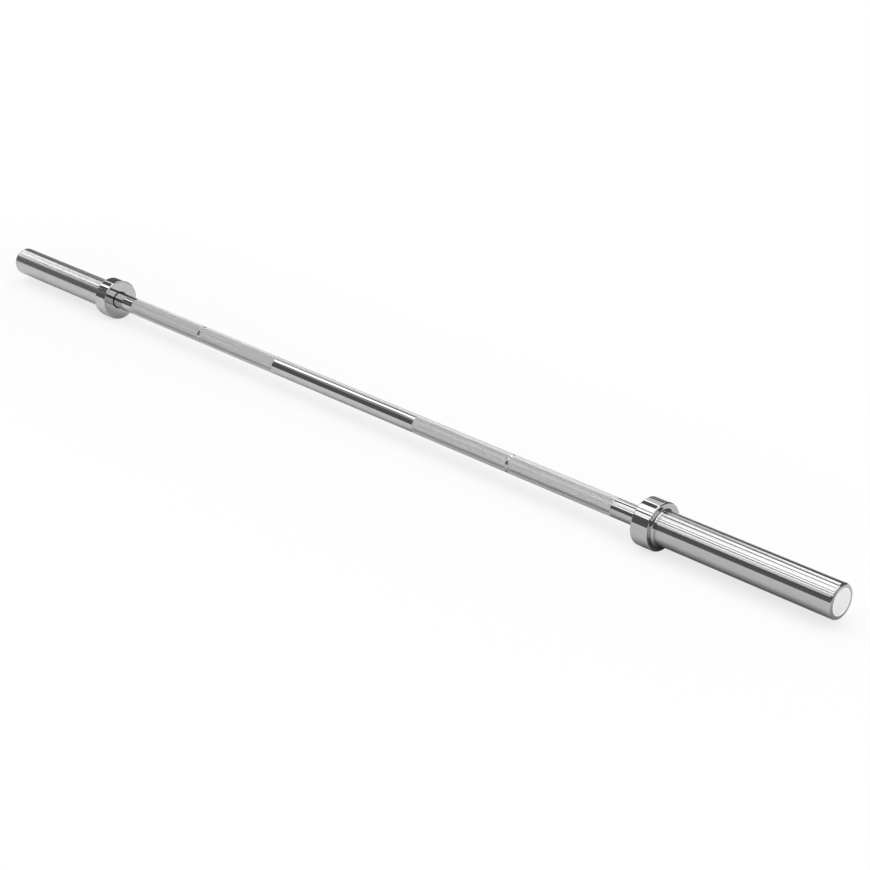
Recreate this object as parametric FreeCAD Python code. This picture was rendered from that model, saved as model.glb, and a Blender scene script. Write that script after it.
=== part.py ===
"""Olympic barbell: a one-piece shaft with a turning plate sleeve on each end, in millimetres.

X runs along the bar, +Z is up, and the origin is the middle of the bar on its own axis.
Every piece of the right-hand end is modelled outwards along +X; the left-hand end is the
same set of pieces turned half a turn about Z.
"""
import FreeCAD
import Part
import os

# Lengths along the bar
bar_length = 1900.0             # over both sleeves
grip_length = 1260.0            # between the collars' inner faces
middle_smooth_length = 342.0    # plain stretch in the middle of the shaft
knurl_span = 1152.0             # over the outer ends of the knurling
ring_mark_spacing = 748.0       # between the middles of the two ring marks
ring_mark_width = 4.0           # narrow stretch that the knurling leaves smooth

# Shaft
grip_diameter = 29.0
knurl_depth = 0.25              # root of the rolled pattern below the grip's surface
journal_diameter = 25.0         # turned end that the sleeve runs on
shoulder_depth = 2.0            # the grip runs this far past the collar's wall
shoulder_fillet = 0.4
shaft_end_chamfer = 1.0
shaft_end_margin = 5.0          # shaft left beyond the retaining ring's groove

# Sleeve
sleeve_diameter = 50.0
sleeve_end_round = 3.5
bearing_diameter = 32.0         # bore that the bushes and the bearing are pressed into
bore_relief = 0.8               # the bore is wider between its two seats
bore_chamfer = 0.5
seat_margin = 2.0               # seat left beyond a pressed piece

# Collar
collar_diameter = 71.0
collar_width = 30.0
collar_wall = 8.0               # front wall that closes the sleeve's inner end
collar_shaft_gap = 1.2          # open ring round the shaft, seen from the grip side
collar_seat_step = 0.5          # the sleeve is turned down by this under the collar
collar_toe_length = 3.7         # foot that runs out along the sleeve from the plate side
collar_toe_edge = 0.2           # height of the foot's end above the sleeve
collar_toe_round = 3.5          # hollow round between the plate side and the foot
collar_plate_side_round = 2.4
collar_grip_side_round = 2.0

# Bushes and thrust washers
bush_length = 30.0
bush_chamfer = 0.5
bush_groove_width = 3.0         # grease groove round the middle of the bore
bush_groove_depth = 0.6
running_gap = 0.05              # round the journal, on the radius
end_float = 0.1                 # of the sleeve along the shaft, at each end
washer_thickness = 2.0
washer_bore_gap = 0.5           # clears the shoulder's fillet
washer_rim_gap = 0.4            # clears the sleeve's bore
washer_chamfer = 0.3

# Needle bearing
bearing_length = 20.0
bearing_setback = 8.0           # from the inner bush
cup_wall = 1.0
cup_round = 0.8
lip_gap = 0.7                   # between the cup's lips and the journal
race_gap = 0.02                 # between a needle and each race
needle_count = 20
needle_length = 13.8
needle_chamfer = 0.25
cage_thickness = 1.5
cage_play = 0.2                 # of the cage between the cup's lips
window_play = 0.1               # round a needle in its window

# Retaining ring
ring_thickness = 1.2
ring_groove_depth = 0.55
ring_groove_play = 0.05
ring_back_width = 2.9           # radial width opposite the gap
ring_tip_width = 1.3            # radial width beside the gap
ring_gap = 5.0
lug_radius = 2.0
lug_hole_radius = 0.9

# End cap and its face disc
cap_diameter = 38.2
cap_setback = 0.4               # rim behind the sleeve's end
cap_depth = 12.0
cap_wall = 2.5
cap_rim_width = 1.4
cap_shaft_gap = 6.0             # between the cap and the shaft's end
disc_thickness = 1.0
disc_setback = 0.2              # disc's face behind the rim
disc_play = 0.1

# Radii
grip_radius = grip_diameter / 2
journal_radius = journal_diameter / 2
sleeve_radius = sleeve_diameter / 2
seat_radius = sleeve_radius - collar_seat_step
bearing_radius = bearing_diameter / 2
collar_radius = collar_diameter / 2
cap_radius = cap_diameter / 2
groove_radius = journal_radius - ring_groove_depth
race_radius = bearing_radius - cup_wall
needle_radius = (race_radius - journal_radius) / 2 - race_gap
pitch_radius = (race_radius + journal_radius) / 2

# Places along the right-hand end, counted outwards from the collar
collar_inner = grip_length / 2
collar_outer = collar_inner + collar_width
toe_end = collar_outer + collar_toe_length
sleeve_inner = collar_inner + collar_wall
shoulder = sleeve_inner + shoulder_depth
inner_bush_start = shoulder + washer_thickness + end_float
inner_bush_end = inner_bush_start + bush_length
bearing_start = inner_bush_end + bearing_setback
bearing_end = bearing_start + bearing_length

# Places counted inwards from the sleeve's end
sleeve_end = bar_length / 2
cap_front = sleeve_end - cap_setback
cap_back = cap_front - cap_depth
shaft_end = cap_back - cap_shaft_gap
ring_start = shaft_end - shaft_end_margin - ring_groove_play - ring_thickness
ring_end = ring_start + ring_thickness
outer_washer_start = ring_start - ring_groove_play - washer_thickness
outer_bush_end = outer_washer_start - end_float
outer_bush_start = outer_bush_end - bush_length

AXIS = FreeCAD.Vector(1, 0, 0)
UP = FreeCAD.Vector(0, 0, 1)
ORIGIN = FreeCAD.Vector(0, 0, 0)


def turned(outline):
    """A turned piece: a closed outline of (place along the bar, radius) points, spun about the axis."""
    points = [FreeCAD.Vector(along, 0, radius) for along, radius in outline]
    face = Part.Face(Part.makePolygon(points + points[:1]))
    return face.revolve(ORIGIN, AXIS, 360)


def circles_at(solid, places):
    """The circular edges of a turned piece at the given (place along the bar, radius) points."""
    found = []
    for along, radius in places:
        for edge in solid.Edges:
            curve = edge.Curve
            if not isinstance(curve, Part.Circle):
                continue
            if abs(curve.Center.x - along) < 1e-6 and abs(curve.Radius - radius) < 1e-6:
                found.append(edge)
    return found


def rounded(solid, radius, *places):
    """The piece with its circular edges at those places rounded."""
    return solid.makeFillet(radius, circles_at(solid, places))


def chamfered(solid, size, *places):
    """The piece with its circular edges at those places chamfered."""
    return solid.makeChamfer(size, circles_at(solid, places))


def round_bar(radius, start, length, across=0.0, height=0.0):
    """A plain cylinder along the bar, its middle line moved sideways and up."""
    return Part.makeCylinder(radius, length, FreeCAD.Vector(start, across, height), AXIS)


def knurl_zones():
    """Start and end of each knurled zone on the right-hand half: a ring mark parts the two."""
    mark = ring_mark_spacing / 2
    half_mark = ring_mark_width / 2
    return [(middle_smooth_length / 2, mark - half_mark), (mark + half_mark, knurl_span / 2)]


def make_shaft():
    """Grip with its knurl roots, a shoulder and a turned journal with a ring groove at each end."""
    root_radius = grip_radius - knurl_depth
    half = []
    for start, end in knurl_zones():
        half += [(start, grip_radius), (start, root_radius), (end, root_radius), (end, grip_radius)]
    groove_start = ring_start - ring_groove_play
    groove_end = ring_end + ring_groove_play
    half += [
        (shoulder, grip_radius), (shoulder, journal_radius),
        (groove_start, journal_radius), (groove_start, groove_radius),
        (groove_end, groove_radius), (groove_end, journal_radius),
        (shaft_end, journal_radius), (shaft_end, 0.0),
    ]
    mirrored = [(-along, radius) for along, radius in reversed(half)]
    shaft = turned(mirrored + half)
    ends = [(side * shaft_end, journal_radius) for side in (-1, 1)]
    shaft = chamfered(shaft, shaft_end_chamfer, *ends)
    roots = [(side * shoulder, journal_radius) for side in (-1, 1)]
    return rounded(shaft, shoulder_fillet, *roots)


def make_sleeve():
    """Tube with a turned seat for the collar, two bearing seats, and a wider mouth for the cap."""
    relief_radius = bearing_radius + bore_relief
    relief_start = bearing_end + seat_margin
    relief_end = outer_bush_start - seat_margin
    sleeve = turned([
        (sleeve_inner, bearing_radius), (sleeve_inner, seat_radius),
        (toe_end, seat_radius), (toe_end, sleeve_radius),
        (sleeve_end, sleeve_radius), (sleeve_end, cap_radius),
        (outer_bush_end, cap_radius), (outer_bush_end, bearing_radius),
        (relief_end, bearing_radius), (relief_end, relief_radius),
        (relief_start, relief_radius), (relief_start, bearing_radius),
    ])
    sleeve = rounded(sleeve, sleeve_end_round, (sleeve_end, sleeve_radius))
    return chamfered(sleeve, bore_chamfer, (sleeve_inner, bearing_radius))


def make_collar():
    """Stop ring pressed on the sleeve: a front wall round the shaft and a hollow-rounded foot behind."""
    mouth_radius = grip_radius + collar_shaft_gap
    toe_radius = sleeve_radius + collar_toe_edge
    collar = turned([
        (collar_inner, mouth_radius), (collar_inner, collar_radius),
        (collar_outer, collar_radius), (collar_outer, toe_radius),
        (toe_end, toe_radius), (toe_end, seat_radius),
        (sleeve_inner, seat_radius), (sleeve_inner, mouth_radius),
    ])
    collar = rounded(collar, collar_toe_round, (collar_outer, toe_radius))
    collar = rounded(collar, collar_plate_side_round, (collar_outer, collar_radius))
    collar = rounded(collar, collar_grip_side_round, (collar_inner, collar_radius))
    return chamfered(collar, bore_chamfer, (collar_inner, mouth_radius))


def make_bush(start):
    """Bronze bush pressed into the sleeve, with a grease groove round the middle of its bore."""
    bore_radius = journal_radius + running_gap
    groove_start = start + (bush_length - bush_groove_width) / 2
    groove_end = groove_start + bush_groove_width
    bottom_radius = bore_radius + bush_groove_depth
    end = start + bush_length
    bush = turned([
        (start, bore_radius), (start, bearing_radius), (end, bearing_radius), (end, bore_radius),
        (groove_end, bore_radius), (groove_end, bottom_radius),
        (groove_start, bottom_radius), (groove_start, bore_radius),
    ])
    return chamfered(bush, bush_chamfer, (start, bearing_radius), (end, bearing_radius))


def make_washer(start):
    """Thrust washer: flat ring, loose on the journal and in the sleeve."""
    bore_radius = journal_radius + washer_bore_gap
    rim_radius = bearing_radius - washer_rim_gap
    end = start + washer_thickness
    washer = turned([(start, bore_radius), (start, rim_radius), (end, rim_radius), (end, bore_radius)])
    return chamfered(washer, washer_chamfer, (start, rim_radius), (end, rim_radius))


def make_cup():
    """Drawn bearing cup: a thin outer race whose two ends turn in as lips."""
    lip_radius = journal_radius + lip_gap
    inner_start = bearing_start + cup_wall
    inner_end = bearing_end - cup_wall
    cup = turned([
        (bearing_start, lip_radius), (bearing_start, bearing_radius),
        (bearing_end, bearing_radius), (bearing_end, lip_radius),
        (inner_end, lip_radius), (inner_end, race_radius),
        (inner_start, race_radius), (inner_start, lip_radius),
    ])
    return rounded(cup, cup_round, (bearing_start, bearing_radius), (bearing_end, bearing_radius))


def around(piece):
    """One copy of a piece for each needle, spaced evenly about the axis."""
    copies = []
    for number in range(needle_count):
        copy = piece.copy()
        copy.rotate(ORIGIN, AXIS, 360.0 * number / needle_count)
        copies.append(copy)
    return copies


def make_cage():
    """Needle cage: a ring between the lips with one window for each needle."""
    start = bearing_start + cup_wall + cage_play
    end = bearing_end - cup_wall - cage_play
    inner_radius = pitch_radius - cage_thickness / 2
    outer_radius = pitch_radius + cage_thickness / 2
    ring = turned([(start, inner_radius), (start, outer_radius), (end, outer_radius), (end, inner_radius)])
    window_length = needle_length + 2 * window_play
    window_width = 2 * (needle_radius + window_play)
    window_start = (start + end - window_length) / 2
    corner = FreeCAD.Vector(window_start, -window_width / 2, pitch_radius - cage_thickness)
    window = Part.makeBox(window_length, window_width, 2 * cage_thickness, corner)
    return ring.cut(around(window))


def make_needles():
    """The bearing's needles, each in the middle of its window."""
    start = (bearing_start + bearing_end - needle_length) / 2
    needle = round_bar(needle_radius, start, needle_length, height=pitch_radius)
    ends = [edge for edge in needle.Edges if isinstance(edge.Curve, Part.Circle)]
    return Part.makeCompound(around(needle.makeChamfer(needle_chamfer, ends)))


def make_retaining_ring():
    """Open spring ring in the shaft's groove: it thins towards two lugs with holes for pliers."""
    outer_radius = groove_radius + (ring_back_width + ring_tip_width) / 2
    drop = (ring_back_width - ring_tip_width) / 2
    lug_height = groove_radius + lug_radius
    lug_across = ring_gap / 2 + lug_radius
    ring = round_bar(outer_radius, ring_start, ring_thickness, height=-drop)
    holes = [round_bar(groove_radius, ring_start, ring_thickness)]
    for side in (-1, 1):
        lug = round_bar(lug_radius, ring_start, ring_thickness, side * lug_across, lug_height)
        foot_size = (ring_thickness, 2 * lug_radius, lug_radius)
        foot_corner = (ring_start, side * lug_across - lug_radius, lug_height - lug_radius)
        ring = ring.fuse([lug, Part.makeBox(*foot_size, FreeCAD.Vector(*foot_corner))])
        holes.append(round_bar(lug_hole_radius, ring_start, ring_thickness, side * lug_across, lug_height))
    opening_corner = FreeCAD.Vector(ring_start, -ring_gap / 2, 0)
    holes.append(Part.makeBox(ring_thickness, ring_gap, 2 * outer_radius, opening_corner))
    return ring.cut(holes).removeSplitter()


def make_end_cap():
    """Moulded plug pressed into the sleeve's mouth, hollow behind, with a low rim round its face."""
    floor = cap_front - disc_setback - disc_thickness
    plate_back = floor - cap_wall
    hollow_radius = cap_radius - cap_wall
    recess_radius = cap_radius - cap_rim_width
    cap = turned([
        (cap_back, hollow_radius), (cap_back, cap_radius), (cap_front, cap_radius),
        (cap_front, recess_radius), (floor, recess_radius), (floor, 0.0),
        (plate_back, 0.0), (plate_back, hollow_radius),
    ])
    return chamfered(cap, bore_chamfer, (cap_back, cap_radius))


def make_end_disc():
    """Plain disc set in the cap's recess."""
    radius = cap_radius - cap_rim_width - disc_play
    return round_bar(radius, cap_front - disc_setback - disc_thickness, disc_thickness)


def end_pieces():
    """Every piece of the right-hand end, by name."""
    return {
        "sleeve": make_sleeve(),
        "collar": make_collar(),
        "inner_washer": make_washer(shoulder),
        "inner_bush": make_bush(inner_bush_start),
        "bearing_cup": make_cup(),
        "bearing_cage": make_cage(),
        "bearing_needles": make_needles(),
        "outer_bush": make_bush(outer_bush_start),
        "outer_washer": make_washer(outer_washer_start),
        "retaining_ring": make_retaining_ring(),
        "end_cap": make_end_cap(),
        "end_disc": make_end_disc(),
    }


os.makedirs("parts", exist_ok=True)
make_shaft().exportStep("parts/shaft.step")
for name, piece in end_pieces().items():
    piece.exportStep(f"parts/right_{name}.step")
    piece.rotate(ORIGIN, UP, 180)
    piece.exportStep(f"parts/left_{name}.step")
cage_ratio = race_radius / (race_radius + journal_radius)
print(f"cage turns {cage_ratio:.6f} of the sleeve's turn; needle diameter {2 * needle_radius:.2f}")
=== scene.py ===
# %% [markdown]
# A weightlifting bar is one long steel shaft with a turning sleeve on each end, plated with
# chrome, and a white plug in the end of each sleeve. The solid pieces come from the packed
# model, already in their places and in metres: X runs along the bar, Z is up, and the origin is
# the middle of the bar. This lesson adds what the solids don't have: the rolled grip pattern,
# the finishes, the light and the camera. The first cell loads the solids and keeps their outer
# box for later.

# %% Load the solids
import math

import bpy
import numpy as np
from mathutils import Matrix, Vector


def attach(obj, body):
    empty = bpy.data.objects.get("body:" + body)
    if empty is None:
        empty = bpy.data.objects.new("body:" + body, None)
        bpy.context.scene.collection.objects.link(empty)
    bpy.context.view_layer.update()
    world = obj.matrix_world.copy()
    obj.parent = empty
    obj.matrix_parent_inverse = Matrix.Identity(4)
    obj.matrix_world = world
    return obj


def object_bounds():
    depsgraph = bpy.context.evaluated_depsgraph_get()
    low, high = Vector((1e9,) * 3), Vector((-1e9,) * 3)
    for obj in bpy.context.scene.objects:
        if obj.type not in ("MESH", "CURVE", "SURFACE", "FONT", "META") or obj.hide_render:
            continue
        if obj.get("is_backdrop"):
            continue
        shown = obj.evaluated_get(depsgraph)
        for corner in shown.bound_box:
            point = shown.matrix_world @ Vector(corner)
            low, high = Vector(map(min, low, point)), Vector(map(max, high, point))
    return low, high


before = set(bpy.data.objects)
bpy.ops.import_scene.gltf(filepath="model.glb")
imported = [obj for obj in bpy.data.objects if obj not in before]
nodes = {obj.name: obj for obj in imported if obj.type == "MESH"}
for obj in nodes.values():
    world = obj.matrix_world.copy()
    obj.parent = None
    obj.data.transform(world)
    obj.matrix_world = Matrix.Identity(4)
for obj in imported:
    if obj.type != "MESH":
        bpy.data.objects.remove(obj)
cad_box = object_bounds()
scene = bpy.context.scene
scene.view_settings.view_transform = "Standard"

# %% [markdown]
# The camera comes next, so that every later choice can be judged in the final frame. The
# picture is square. A long lens, 2.8 m from the spot that it aims at, to the right and above,
# shows the near sleeve nearly half as large again as the far one. Lens, eye and aim were worked
# out from the bar's own outline: both sleeves have the same diameter, so their two sizes in the
# picture fix the distance and the lens.

# %% Camera
sensor_width_mm = 36.0
lens_mm = 75.84
furthest_seen = 200.0           # past the corners of the floor
eye = Vector((2.0730, -1.7551, 1.0978))
aim = Vector((0.2083, 0.0, -0.0053))


def turn_to(thing, target):
    """Turns a camera or a lamp to look at the target from where it is."""
    thing.rotation_euler = (Vector(target) - thing.location).to_track_quat("-Z", "Y").to_euler()


camera_data = bpy.data.cameras.new("camera")
camera_data.sensor_width = sensor_width_mm
camera_data.lens = lens_mm
camera_data.clip_end = furthest_seen
camera = bpy.data.objects.new("camera", camera_data)
scene.collection.objects.link(camera)
camera.location = eye
turn_to(camera, aim)
scene.camera = camera
print("camera at", tuple(eye), "lens", lens_mm, "mm")

# %% [markdown]
# Materials are built from nodes. A few small helpers keep the later cells short: one adds a
# node and sets its plain values, one does a step of arithmetic, and two give the place of a point
# and its distance from a line. They work on any node tree, so the floor, the shared effects and
# the finishes all use them.

# %% Node helpers
def add_node(tree, kind, **values):
    """A new node in the tree: names of its inputs and of its settings, each with a value."""
    node = tree.nodes.new(kind)
    for name, value in values.items():
        label = name.replace("_", " ").title()
        if label in node.inputs:
            node.inputs[label].default_value = value
        else:
            setattr(node, name, value)
    return node


def math_node(tree, operation, first, second=None):
    """One step of arithmetic: each term is a socket or a plain number."""
    node = tree.nodes.new("ShaderNodeMath")
    node.operation = operation
    for socket, term in zip(node.inputs, (first, second)):
        if isinstance(term, (int, float)):
            socket.default_value = term
        elif term is not None:
            tree.links.new(term, socket)
    return node.outputs[0]


def distance(tree, first, second):
    """The root of the sum of two squares."""
    squares = [math_node(tree, "MULTIPLY", term, term) for term in (first, second)]
    return math_node(tree, "SQRT", math_node(tree, "ADD", *squares))


def object_place(tree):
    """Where a point lies, in the object's own coordinates: as one socket, and as X, Y and Z."""
    place = add_node(tree, "ShaderNodeTexCoord").outputs["Object"]
    split = add_node(tree, "ShaderNodeSeparateXYZ")
    tree.links.new(place, split.inputs[0])
    return place, split.outputs


print("node helpers ready")

# %% [markdown]
# The bar lies on a pale floor, resting on its two collars. One flat sheet is enough, at the
# lowest point of the solids and wide enough to fill the picture from any side. It is marked as
# part of the stage, because it doesn't belong to the bar.

# %% Floor sheet
floor_half_width = 60.0
floor_height = cad_box[0][2]
corner_signs = [(-1, -1), (1, -1), (1, 1), (-1, 1)]
floor_corners = [(x * floor_half_width, y * floor_half_width, floor_height) for x, y in corner_signs]
floor_mesh = bpy.data.meshes.new("floor")
floor_mesh.from_pydata(floor_corners, [], [(0, 1, 2, 3)])
floor = bpy.data.objects.new("floor", floor_mesh)
scene.collection.objects.link(floor)
floor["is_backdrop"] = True
print("floor at", round(floor_height, 4), "m")

# %% [markdown]
# The background should be white, and the chrome should show that white too, but the floor must
# still take the bar's shadow. So the floor is an ordinary matt surface beside the bar and turns
# into plain white light of strength 1 further away, only for rays from the camera, from mirrors
# and through glass. The white gives no extra light to anything else. The camera sees a share of
# it right up to the bar, which keeps the shadow soft. Mirrors see the matt floor further out, so
# the chrome's underside stays grey. The share of white follows the distance from the bar's line on
# the floor, and past an end of the bar it follows the distance from that end.

# %% Share of white on the floor
half_bar = cad_box[1][0]
camera_fade = (0.0, 0.5, 0.75)  # white from this distance, all white at this one, least share
mirror_fade = (0.3, 4.0, 0.0)   # the same for mirrors


def soft_step(tree, value, nearest, furthest, least=0.0):
    """A smooth step of the value, from the least share at one number to 1 at the other."""
    step = add_node(tree, "ShaderNodeMapRange", interpolation_type="SMOOTHSTEP")
    tree.links.new(value, step.inputs["Value"])
    for socket, number in (("From Min", nearest), ("From Max", furthest), ("To Min", least)):
        step.inputs[socket].default_value = number
    return step.outputs["Result"]


floor_paint = bpy.data.materials.new("pale_floor")
floor_paint.use_nodes = True
tree = floor_paint.node_tree
tree.nodes.clear()
_, floor_xyz = object_place(tree)
past_end = math_node(tree, "SUBTRACT", math_node(tree, "ABSOLUTE", floor_xyz["X"]), half_bar)
away = distance(tree, math_node(tree, "MAXIMUM", past_end, 0.0), floor_xyz["Y"])
ray = add_node(tree, "ShaderNodeLightPath").outputs
mirrored = math_node(tree, "MAXIMUM", ray["Is Glossy Ray"], ray["Is Transmission Ray"])
white_share = 0.0
for seen, fade in ((ray["Is Camera Ray"], camera_fade), (mirrored, mirror_fade)):
    part = math_node(tree, "MULTIPLY", seen, soft_step(tree, away, *fade))
    white_share = math_node(tree, "ADD", part, white_share)
print("the camera sees all white", camera_fade[1], "m away, mirrors", mirror_fade[1], "m away")

# %% [markdown]
# The undersides of the chrome get painted shade from the floor. Soft-edged darker patches of the
# floor's paint, which only mirrors see, stand in for the shadow under the bar in its reflections.
# A wide one lies under and before the near half and paints shade on the underside of the near
# sleeve. A long narrow one right under the bar darkens towards the near end. One more under each
# grip keeps the rolled steel darker below than the smooth steel, also as painted shade. The matt
# paint with these patches and the white are then mixed by the share of white.

# %% Painted shade patches and floor paint
floor_grey = 0.80
# patches of painted shade on the floor, seen by mirrors only: how much darker, and their soft edges
painted_shade_patches = {                       # how much darker, and the soft edges: axis, from none, to full
    "near_half": (0.15, (("X", -0.40, 0.60), ("Y", -0.80, -0.25), ("Y", 0.30, 0.05))),
    "under_bar": (0.30, (("X", -0.60, 0.90), ("Y", -0.055, -0.015), ("Y", 0.08, 0.015))),
    "right_grip": (0.08, (("X", 0.11, 0.15), ("X", 0.56, 0.52),
                          ("Y", -0.10, -0.04), ("Y", 0.14, 0.05))),
    "left_grip": (0.20, (("X", -0.58, -0.52), ("X", -0.20, -0.24),
                         ("Y", -0.10, -0.04), ("Y", 0.05, 0.015))),
}
# the floor grey less each patch of painted shade, for mirror rays only
grey = floor_grey
for drop, edges in painted_shade_patches.values():
    darker = math_node(tree, "MULTIPLY", mirrored, drop)
    for axis, none, full in edges:
        darker = math_node(tree, "MULTIPLY", darker, soft_step(tree, floor_xyz[axis], none, full))
    grey = math_node(tree, "SUBTRACT", grey, darker)
matt = add_node(tree, "ShaderNodeBsdfDiffuse")
tree.links.new(grey, matt.inputs["Color"])
white = add_node(tree, "ShaderNodeEmission", strength=1.0)
mix = add_node(tree, "ShaderNodeMixShader")
for socket, source in zip(mix.inputs, (white_share, matt.outputs[0], white.outputs[0])):
    tree.links.new(source, socket)
output = add_node(tree, "ShaderNodeOutputMaterial")
tree.links.new(mix.outputs[0], output.inputs["Surface"])
floor_mesh.materials.append(floor_paint)
print("floor painted, with", len(painted_shade_patches), "grey cards")

# %% [markdown]
# Chrome has almost no colour of its own: it shows the room. On a round bar each direction about
# the axis becomes one stripe, so the room is laid out as a photographer would do it for metal.
# The room itself is dim, which gives the dark band between the lamps and the floor. The light
# comes from flat soft lamps, and one function makes them all.

# %% Room and lamp maker
room_grey = (0.127, 0.127, 0.130, 1.0)
room = bpy.data.worlds.new("room")
room.use_nodes = True
room.node_tree.nodes["Background"].inputs["Color"].default_value = room_grey
scene.world = room


def hang_lamp(name, place, length, width, radiance):
    """A flat lamp that the camera doesn't see. Its power is radiance * pi * area."""
    data = bpy.data.lights.new(name, "AREA")
    data.shape = "RECTANGLE"
    data.size = length
    data.size_y = width
    data.energy = radiance * math.pi * length * width
    lamp = bpy.data.objects.new(name, data)
    lamp.location = place
    lamp.visible_camera = False
    scene.collection.objects.link(lamp)
    return lamp


print("room of grey", room_grey[:3])

# %% [markdown]
# The lamps hang in one plane above the bar, with narrow gaps between them that become the thin
# dark lines on the sleeves. The camera looks along the bar, so the near sleeve mirrors the lamps
# over the bar and the far sleeve mirrors lamps that hang beyond the far end. A row off the near
# end gives the near sleeve its stripes when the bar is seen from the front or from its far end.

# %% Lamps
lamp_height = 1.8
near_row_x = 2.20
near_row_length = 2.40
near_row = [                    # y, width, radiance
    (0.75, 0.55, 1.70),
    (0.05, 0.45, 1.70),
    (-0.45, 0.30, 1.70),
    (-0.95, 0.40, 1.70),
    (-1.75, 0.80, 1.50),
]
lamps = {                       # middle x and y, turn in degrees, length, width, radiance
    "over_bar": [
        (-0.62, 2.25, -50, 2.71, 0.60, 1.96),
        (0.16, 0.51, -20, 1.49, 0.50, 2.38),
        (0.09, -0.24, -5, 1.67, 0.74, 1.72),
        (-0.22, -0.92, -6, 2.85, 0.38, 1.72),
        (-0.47, -1.58, 0, 2.35, 0.46, 1.62),
        (-1.02, -2.34, 6, 0.85, 0.98, 1.60),
        (-1.33, 1.25, -48, 1.33, 0.65, 1.84),
        (-1.10, -0.18, 0, 0.52, 0.35, 2.20),
        (-1.86, -0.06, 15, 0.92, 0.68, 2.35),
        (-1.95, -0.95, 12, 1.00, 0.75, 0.28),
    ],
    "near_end": [(near_row_x, y, 0, near_row_length, width, radiance) for y, width, radiance in near_row],
    "far_end": [
        (-2.29, 2.01, 17, 2.32, 2.34, 0.75),
        (-2.84, 0.53, -12, 2.19, 0.23, 1.21),
        (-2.71, -0.45, 0, 0.70, 0.40, 1.95),
        (-4.22, 4.30, 20, 2.47, 2.67, 1.56),
        (-4.28, 0.98, 0, 1.55, 0.37, 2.80),
        (-4.00, 0.55, 0, 1.60, 0.28, 2.60),
        (-3.83, 0.13, 0, 1.54, 0.25, 2.40),
        (-3.83, -0.24, 0, 1.54, 0.22, 2.70),
        (-3.83, -0.57, 0, 1.54, 0.17, 2.90),
        (-4.30, -0.94, 0, 1.60, 0.20, 3.20),
        (-4.48, -1.32, 0, 1.64, 0.22, 2.40),
        (-5.00, -1.79, 0, 1.41, 0.71, 0.60),
    ],
}
for group, rows in lamps.items():
    for number, (x, y, turn, length, width, radiance) in enumerate(rows):
        lamp = hang_lamp(f"{group}_{number}", (x, y, lamp_height), length, width, radiance)
        lamp.rotation_euler.z = math.radians(turn)
    print(len(rows), "lamps", group, "at", lamp_height, "m")

# %% [markdown]
# The lamps above are placed for their mirror images. What isn't chrome needs a more even light:
# the floor, and the white plugs in the two ends, which face sideways. Three large fills do that,
# one overhead and one off each end. The far one is weaker, because the lamps beyond that end
# already reach its plug. Mirrors don't see the fills, so the stripes stay clear. Two panels that
# mirrors do see stand low: a dim one beyond the far sleeve, which lifts its dark band a little,
# and one behind the bar, which keeps the top of the smooth middle light.

# %% Fills and panels
fills = {                       # place, what it looks at, length, width, radiance, seen in mirrors
    "overhead_fill": ((0.0, 0.0, 2.4), (0.0, 0.0, 0.0), 4.0, 4.0, 0.20, False),
    "near_end_fill": ((3.0, -0.6, 1.0), (0.95, 0.0, 0.0), 2.0, 2.0, 2.5, False),
    "far_end_fill": ((-3.0, -0.6, 1.0), (-0.95, 0.0, 0.0), 2.0, 2.0, 0.9, False),
    "far_panel": ((-6.24, -2.54, 1.15), (-0.80, 0.0, 0.0), 2.1, 2.2, 0.10, True),
    "back_panel": ((-5.25, 5.0, 1.5), (-5.25, 0.0, 1.5), 1.9, 2.7, 0.55, True),
}
for name, (place, target, length, width, radiance, shown) in fills.items():
    fill = hang_lamp(name, place, length, width, radiance)
    turn_to(fill, target)
    fill.visible_glossy = shown
print(len(fills), "fills and panels")

# %% [markdown]
# Two effects are shared by several finishes, so each is a node group. Turned pieces keep very
# fine lines round the axis from the lathe and the polishing belt. On the round surfaces the
# lines follow the place along the bar and on the flat faces they follow the radius, so one
# noise of place plus radius serves both. A slow cloud noise makes the polish a little uneven.

# %% Turned marks
def new_group(name, inputs, outputs):
    """An empty shader group with plain number sockets: returns it with its input and output nodes."""
    group = bpy.data.node_groups.new(name, "ShaderNodeTree")
    for label, value in inputs.items():
        socket = group.interface.new_socket(label, in_out="INPUT", socket_type="NodeSocketFloat")
        socket.default_value = value
    for label in outputs:
        group.interface.new_socket(label, in_out="OUTPUT", socket_type="NodeSocketFloat")
    return group, group.nodes.new("NodeGroupInput"), group.nodes.new("NodeGroupOutput")


turned_marks, given, result = new_group(
    "turned_marks", {"Line Size": 0.0004, "Cloud Size": 0.02}, ("Haze", "Height"))
place, xyz = object_place(turned_marks)
radius = distance(turned_marks, xyz["Y"], xyz["Z"])
along = math_node(turned_marks, "ADD", xyz["X"], radius)
line_place = math_node(turned_marks, "DIVIDE", along, given.outputs["Line Size"])
lines = add_node(turned_marks, "ShaderNodeTexNoise", noise_dimensions="1D", detail=2.0, scale=1.0)
turned_marks.links.new(line_place, lines.inputs["W"])
clouds_per_metre = math_node(turned_marks, "DIVIDE", 1.0, given.outputs["Cloud Size"])
cloud = add_node(turned_marks, "ShaderNodeTexNoise", detail=4.0)
turned_marks.links.new(place, cloud.inputs["Vector"])
turned_marks.links.new(clouds_per_metre, cloud.inputs["Scale"])
turned_marks.links.new(cloud.outputs["Fac"], result.inputs["Haze"])
turned_marks.links.new(lines.outputs["Fac"], result.inputs["Height"])
print("group", turned_marks.name)

# %% [markdown]
# The second shared effect is grain: the pores of sintered bronze, the dull skin of pressed and of
# oiled steel, and the skin of moulded plastic are all fine noise at different sizes. A broader
# noise is mixed in evenly, so that the speckle doesn't look like a printed pattern.

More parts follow.
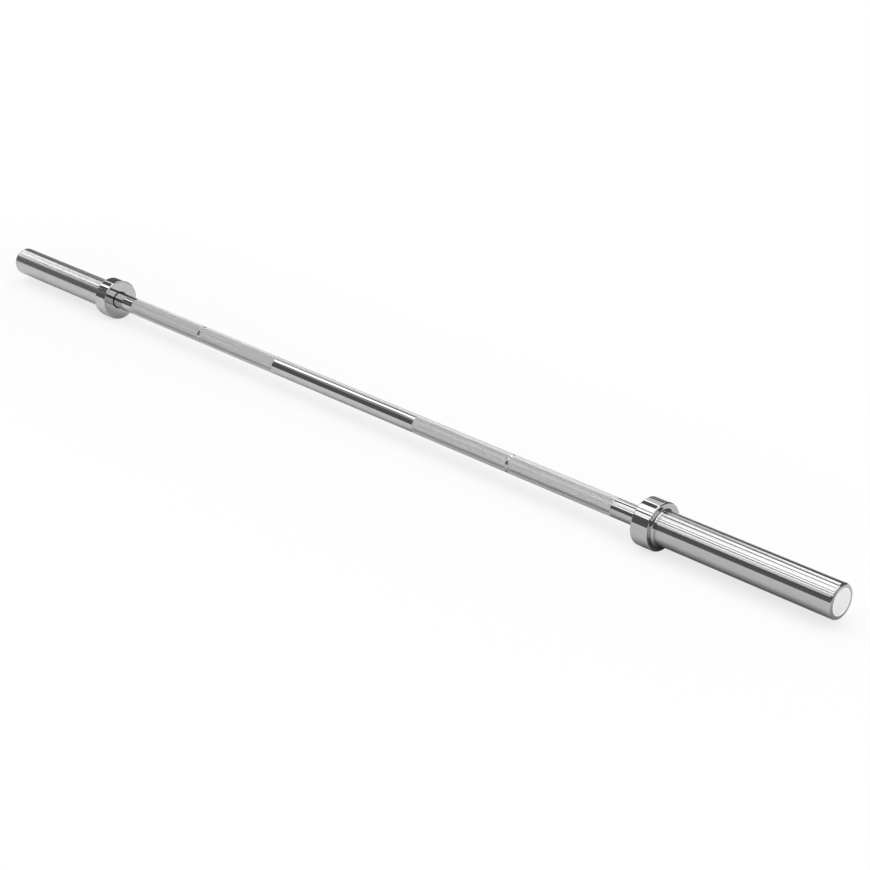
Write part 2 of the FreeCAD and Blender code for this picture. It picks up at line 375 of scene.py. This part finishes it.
# %% Grain
broad_share = 0.05              # frequency of the broad noise beside the fine one
grain, given, result = new_group("grain", {"Grain Size": 0.0006}, ("Speckle", "Height"))
place = add_node(grain, "ShaderNodeTexCoord").outputs["Object"]
fine = add_node(grain, "ShaderNodeTexNoise", detail=3.0, roughness=0.6)
broad = add_node(grain, "ShaderNodeTexNoise", detail=2.0)
per_metre = math_node(grain, "DIVIDE", 1.0, given.outputs["Grain Size"])
for noise, share in ((fine, 1.0), (broad, broad_share)):
    grain.links.new(place, noise.inputs["Vector"])
    grain.links.new(math_node(grain, "MULTIPLY", per_metre, share), noise.inputs["Scale"])
both = math_node(grain, "ADD", fine.outputs["Fac"], broad.outputs["Fac"])
grain.links.new(math_node(grain, "MULTIPLY", both, 0.5), result.inputs["Speckle"])
grain.links.new(fine.outputs["Fac"], result.inputs["Height"])
print("group", grain.name)

# %% [markdown]
# Each finish is one Principled shader. A value that is the same all over a surface is set on the
# shader itself, and only what changes from place to place is linked. The group's mask goes through
# a colour ramp for the colour and a map range for the roughness, and its height through a bump.
# One function does this for all of them, so a finish is only a line of values.

# %% How a finish is made
mask_low = 0.3                  # noise lies mostly between these two
mask_high = 0.7


def finish(name, group, sizes, colours, roughness, bump, metallic=1.0):
    """A finish: mask -> two colours and two roughnesses, height -> bump of that depth in metres."""
    material = bpy.data.materials.new(name)
    material.use_nodes = True
    tree = material.node_tree
    shader = tree.nodes["Principled BSDF"]
    shader.inputs["Metallic"].default_value = metallic
    marks = add_node(tree, "ShaderNodeGroup", node_tree=group)
    for label, value in sizes.items():
        marks.inputs[label].default_value = value
    mask = marks.outputs[0]
    ramp = add_node(tree, "ShaderNodeValToRGB")
    for element, limit, colour in zip(ramp.color_ramp.elements, (mask_low, mask_high), colours):
        element.position = limit
        element.color = (*colour, 1.0)
    tree.links.new(mask, ramp.inputs["Fac"])
    tree.links.new(ramp.outputs["Color"], shader.inputs["Base Color"])
    spread = add_node(tree, "ShaderNodeMapRange", from_min=mask_low, from_max=mask_high,
                      to_min=roughness[0], to_max=roughness[1])
    tree.links.new(mask, spread.inputs["Value"])
    tree.links.new(spread.outputs["Result"], shader.inputs["Roughness"])
    relief = add_node(tree, "ShaderNodeBump", strength=1.0, distance=bump)
    tree.links.new(marks.outputs["Height"], relief.inputs["Height"])
    tree.links.new(relief.outputs["Normal"], shader.inputs["Normal"])
    return material


print("a mask of", mask_low, "to", mask_high, "covers the whole range of a finish")

# %% [markdown]
# Now the finishes themselves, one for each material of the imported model. Chrome is a mid grey mirror
# with almost no roughness. The steel and bronze inside the sleeves are duller and darker, and the
# plug and its disc are smooth white plastic. Every solid already names its material, so the new
# finish of the same name takes its place.

# %% Finishes
def marks_of(line_size, cloud_size):
    """Sizes for the turned marks, in metres."""
    return {"Line Size": line_size, "Cloud Size": cloud_size}


def grain_of(size):
    """Size for the grain, in metres."""
    return {"Grain Size": size}


not_metal = 0.0
chrome_greys = ((0.54, 0.54, 0.542), (0.57, 0.57, 0.572))
finish_values = {               # effect, its sizes, two colours, two roughnesses, depth of the bump
    "polished_chrome": (turned_marks, marks_of(0.0005, 0.03), chrome_greys, (0.02, 0.04), 1e-6),
    "shaft_chrome": (turned_marks, marks_of(0.0004, 0.02),
                     ((0.53, 0.53, 0.532), (0.57, 0.57, 0.572)), (0.04, 0.07), 2e-6),
    "thrust_steel": (turned_marks, marks_of(0.0003, 0.01),
                     ((0.36, 0.36, 0.35), (0.46, 0.46, 0.45)), (0.18, 0.30), 4e-6),
    "bronze": (grain, grain_of(0.0005),
               ((0.42, 0.24, 0.09), (0.60, 0.38, 0.16)), (0.32, 0.50), 1e-5),
    "bearing_steel": (turned_marks, marks_of(0.0002, 0.008),
                      ((0.50, 0.50, 0.50), (0.58, 0.58, 0.58)), (0.08, 0.16), 1e-6),
    "cage_steel": (grain, grain_of(0.0003),
                   ((0.22, 0.22, 0.21), (0.34, 0.34, 0.33)), (0.35, 0.50), 4e-6),
    "spring_steel": (grain, grain_of(0.0002),
                     ((0.035, 0.035, 0.04), (0.07, 0.07, 0.075)), (0.30, 0.45), 3e-6),
    "white_plastic": (grain, grain_of(0.0004),
                      ((0.91, 0.91, 0.905), (0.93, 0.93, 0.925)), (0.30, 0.36), 2e-6, not_metal),
    "white_disc": (grain, grain_of(0.0003),
                   ((0.73, 0.73, 0.73), (0.74, 0.74, 0.74)), (0.30, 0.32), 1e-6, not_metal),
}
finishes = {name: finish(name, *values) for name, values in finish_values.items()}
for node in nodes.values():
    for slot in node.material_slots:
        slot.material = finishes[slot.material.name.split(".")[0]]
print(len(finishes), "finishes on", len(nodes), "solids")

# %% [markdown]
# The sleeves are polished while they turn, so their finest scratches run round the axis. Such marks
# blur the mirror image along the bar and leave it sharp across, and the lamps become long clean
# stripes. Modelling the scratches would take far too many faces. The shader's anisotropy has the
# same effect, with its direction from a tangent that runs round the X axis.

# %% Brushed sleeves
quarter_turn = 0.25


def brush_round(material, amount):
    """Marks round the bar's axis: the mirror image is drawn out along the bar."""
    tree = material.node_tree
    shader = tree.nodes["Principled BSDF"]
    shader.inputs["Anisotropic"].default_value = amount
    shader.inputs["Anisotropic Rotation"].default_value = quarter_turn
    round_axis = add_node(tree, "ShaderNodeTangent", direction_type="RADIAL", axis="X")
    tree.links.new(round_axis.outputs["Tangent"], shader.inputs["Tangent"])


turned_chrome = finish("turned_chrome", turned_marks, marks_of(0.0005, 0.03), chrome_greys,
                       (0.155, 0.170), 1e-6)
brush_round(turned_chrome, 1.0)
for side in ("left", "right"):
    nodes[f"{side}_sleeve"].material_slots[0].material = turned_chrome
print("both sleeves in", turned_chrome.name)

# %% [markdown]
# The grip pattern is rolled into the shaft: two sets of grooves wind round it, one each way,
# and leave rows of long, flat-topped diamonds. A bump map would be enough from far away, but
# the edge of the bar would stay smooth, so the diamonds are real faces. On the unrolled surface
# the groove crossings form a lattice, counted in half steps: i goes round the shaft and j along it.

# %% Lattice of the grooves
def lattice(start, end, rows, around):
    """A function that turns half steps i and j, and a radius, into points.

    The angle is i * pi / around. The place along the bar is start + j * (end - start) / rows,
    held between start and end.
    """
    def points(i, j, radius):
        angle = np.pi * i / around
        place = np.clip(start + (end - start) / rows * j, start, end)
        return np.stack([place, radius * np.cos(angle), radius * np.sin(angle)], axis=-1)

    return points


def crossing_number(i, j, around):
    """Which vertex a crossing is: rows of crossings follow each other from j = -1 on."""
    return (j + 1) * around + i % (2 * around) // 2


print("a crossing of the grooves is where i + j is even, a diamond's middle where it is odd")

# %% [markdown]
# At each end of a grip the roller is lifted and the pattern stops at a clean edge. The skin of
# diamonds would be open there and show its inside, so a narrow ring of faces turns it in, down into
# the steel of the shaft.

# %% Ends of a grip
def end_rims(points, rows, around, radius, first):
    """Vertices and faces of the ring at each end: its inner points lie at the radius.

    At an end the crossings zigzag between two rows that are held at the same place, so there is
    one for each half step round. The inner point of the same half step is number first + i.
    """
    i = np.arange(2 * around)
    rings = []
    bands = []
    for j_end, outward in ((0, -1), (rows, 1)):
        rings.append(points(i, np.full(2 * around, j_end), radius))
        outer = crossing_number(i, j_end + outward * (i % 2), around)
        inner = first + i
        band = np.stack([outer, np.roll(outer, -1), np.roll(inner, -1), inner], axis=-1)
        bands.append(band[:, ::outward])
        first += 2 * around
    return np.concatenate(rings), np.concatenate(bands)


print("a rim has two points for each diamond round the shaft")

# %% [markdown]
# A diamond has its four corners on four crossings, at the root of the grooves, and the same four
# corners drawn in towards its middle, at the crest. That is five faces a diamond, and whole arrays
# of them are worked out at once. Near the ends of a grip the crests are lower, because the roller
# runs out there.

# %% Rolled diamonds
least_rise = 1 / 3              # height of the first crests, as a share of the full height
rim_depth = 0.0002              # how far the rims reach below the grooves


def diamond_skin(start, end, root, crest, around, pitch, flat, run_out):
    """Vertices and faces of the pattern between two places along the shaft.

    A crossing sits at the root radius. A diamond's corners are the crossings one half step from
    its middle, round the shaft and along it. A top corner is middle + flat * (corner - middle),
    at radius root + (crest - root) * rise, where rise grows from the least rise to 1 over the
    run-out at each end.
    """
    rows = 2 * max(1, round((end - start) / pitch))
    points = lattice(start, end, rows, around)
    j_cross = np.repeat(np.arange(-1, rows + 2), around)
    i_cross = np.tile(2 * np.arange(around), rows + 3) + j_cross % 2
    crossings = points(i_cross, j_cross, root)

    j_mid = np.repeat(np.arange(rows + 1), around)[:, None]
    i_mid = np.tile(2 * np.arange(around), rows + 1)[:, None] + 1 - j_mid % 2
    turn = np.array([1, 0, -1, 0])
    reach = np.array([0, 1, 0, -1])
    corner = crossing_number(i_mid + turn, j_mid + reach, around)
    j_top = np.clip(j_mid + flat * reach, 0, rows)
    inside = np.minimum(j_top, rows - j_top) * (end - start) / rows
    rise = least_rise + (1 - least_rise) * np.clip(inside / run_out, 0.0, 1.0)
    tops = points(i_mid + flat * turn, j_top, root + (crest - root) * rise).reshape(-1, 3)
    top = len(crossings) + np.arange(len(tops)).reshape(-1, 4)
    after = [1, 2, 3, 0]
    sides = np.stack([corner, corner[:, after], top[:, after], top], axis=-1).reshape(-1, 4)
    rims, bands = end_rims(points, rows, around, root - rim_depth, len(crossings) + len(tops))
    return np.concatenate([crossings, tops, rims]), np.concatenate([sides, top, bands])


print("five faces a diamond")

# %% [markdown]
# There are two grips a side, with a narrow smooth ring mark between them that shows where to put
# the hands. Rolled steel is not polished after the rolling, so its chrome is satin. It is drawn out
# along the bar like the sleeves' finish, and from far away the many small sides blend into soft
# streaks. The four skins ride on the shaft.

# %% Four grips
smooth_half = 0.171             # from the middle of the bar to the first diamonds
ring_mark = 0.374               # from the middle of the bar to the middle of the ring mark
half_mark = 0.002
grip_end = 0.576                # from the middle of the bar to the smooth neck
end_gap = 0.0001                # between a skin and the shoulders of the groove that it lies in
knurl_zones = {
    "inner": (smooth_half + end_gap, ring_mark - half_mark - end_gap),
    "outer": (ring_mark + half_mark + end_gap, grip_end - end_gap),
}
diamonds = {
    "root": 0.01441,            # radius at the bottom of the grooves
    "crest": 0.01454,           # radius of the flat tops
    "around": 104,              # diamonds round the shaft
    "pitch": 0.0029,            # length of a diamond along the bar
    "flat": 0.55,               # size of a flat top beside its diamond
    "run_out": 0.002,           # stretch at each end where the crests rise
}
rolled_chrome = finish("rolled_chrome", turned_marks, marks_of(0.0004, 0.01),
                       ((0.64, 0.64, 0.642), (0.69, 0.69, 0.692)), (0.34, 0.38), 1e-6)
brush_round(rolled_chrome, 0.85)


def mesh_piece(name, vertices, faces, material):
    """A mesh object at the origin, its place in its vertices."""
    mesh = bpy.data.meshes.new(name)
    mesh.from_pydata(vertices, [], faces.tolist())
    mesh.update()
    mesh.materials.append(material)
    piece = bpy.data.objects.new(name, mesh)
    scene.collection.objects.link(piece)
    return piece


for side, sign in (("left", -1), ("right", 1)):
    for zone, ends in knurl_zones.items():
        start, end = sorted(sign * place for place in ends)
        vertices, faces = diamond_skin(start, end, **diamonds)
        skin = mesh_piece(f"{side}_{zone}_knurl", vertices, faces, rolled_chrome)
        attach(skin, "shaft")
        print(skin.name, len(faces), "faces")

# %% [markdown]
# Last, the outer box of the dressed bar is printed beside the box of the solids, so that the
# two can be compared.

# %% Size and finish
dressed_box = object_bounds()
boxes = {"cad": [list(corner) for corner in cad_box],
         "visual": [list(corner) for corner in dressed_box]}
print("box of the solids", boxes["cad"], "and of the dressed bar", boxes["visual"])
